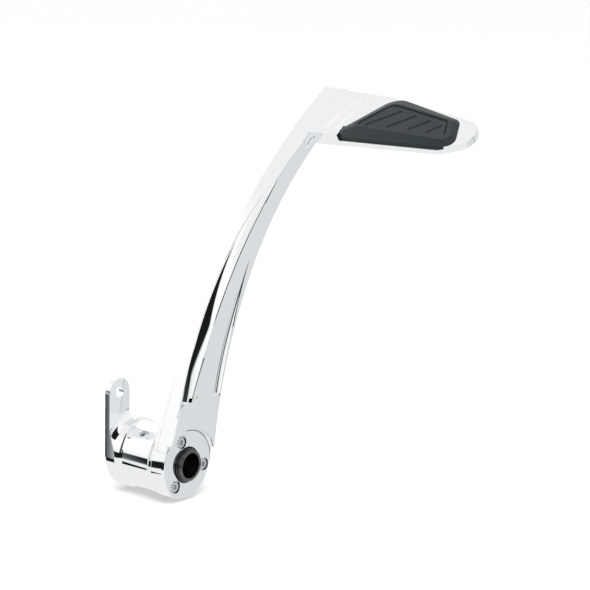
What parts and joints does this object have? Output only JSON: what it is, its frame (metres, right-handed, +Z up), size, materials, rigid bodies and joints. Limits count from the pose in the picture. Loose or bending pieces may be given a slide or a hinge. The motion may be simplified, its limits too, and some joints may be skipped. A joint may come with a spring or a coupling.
{
  "type": "motorcycle foot lever",
  "caption": "Chrome motorcycle foot lever: a curved fluted arm with a rubber-topped toe plate, turning on a bushed pivot with a linkage tab.",
  "frame": {"origin": "on the pivot axis, in the outer face of the hub", "axes": "+Y along the pivot axis towards the motorcycle, +Z up the linkage tab, +X the way the arm leans"},
  "size_m": [0.1686, 0.1755, 0.2452],
  "materials": {
    "chrome": "polished chrome plating",
    "black_oxide": "satin black oxide",
    "screw_steel": "bright plated steel",
    "plain_steel": "ground steel",
    "bronze": "machined bronze",
    "seal_rubber": "smooth black rubber",
    "tread_rubber": "moulded dark grey rubber with a soft sheen"
  },
  "bodies": {
    "pivot": {"pivot_sleeve": "black_oxide", "thrust_washer": "plain_steel", "circlip": "plain_steel"},
    "lever": {"lever_arm": "chrome", "pivot_barrel": "chrome", "hub_screws": "screw_steel", "hub_dowels": "plain_steel", "front_bush": "bronze", "rear_bush": "bronze", "front_seal": "seal_rubber", "rear_seal": "seal_rubber", "grease_plug": "screw_steel", "pad_rubber": "tread_rubber", "pad_plate": "plain_steel", "pad_screws": "screw_steel"}
  },
  "joints": [
    {"name": "lever_pivot", "type": "hinge", "parent": "pivot", "child": "lever", "pos_m": [0, 0, 0], "axis": [0, 1, 0], "range_deg": [0, 15]}
  ]
}
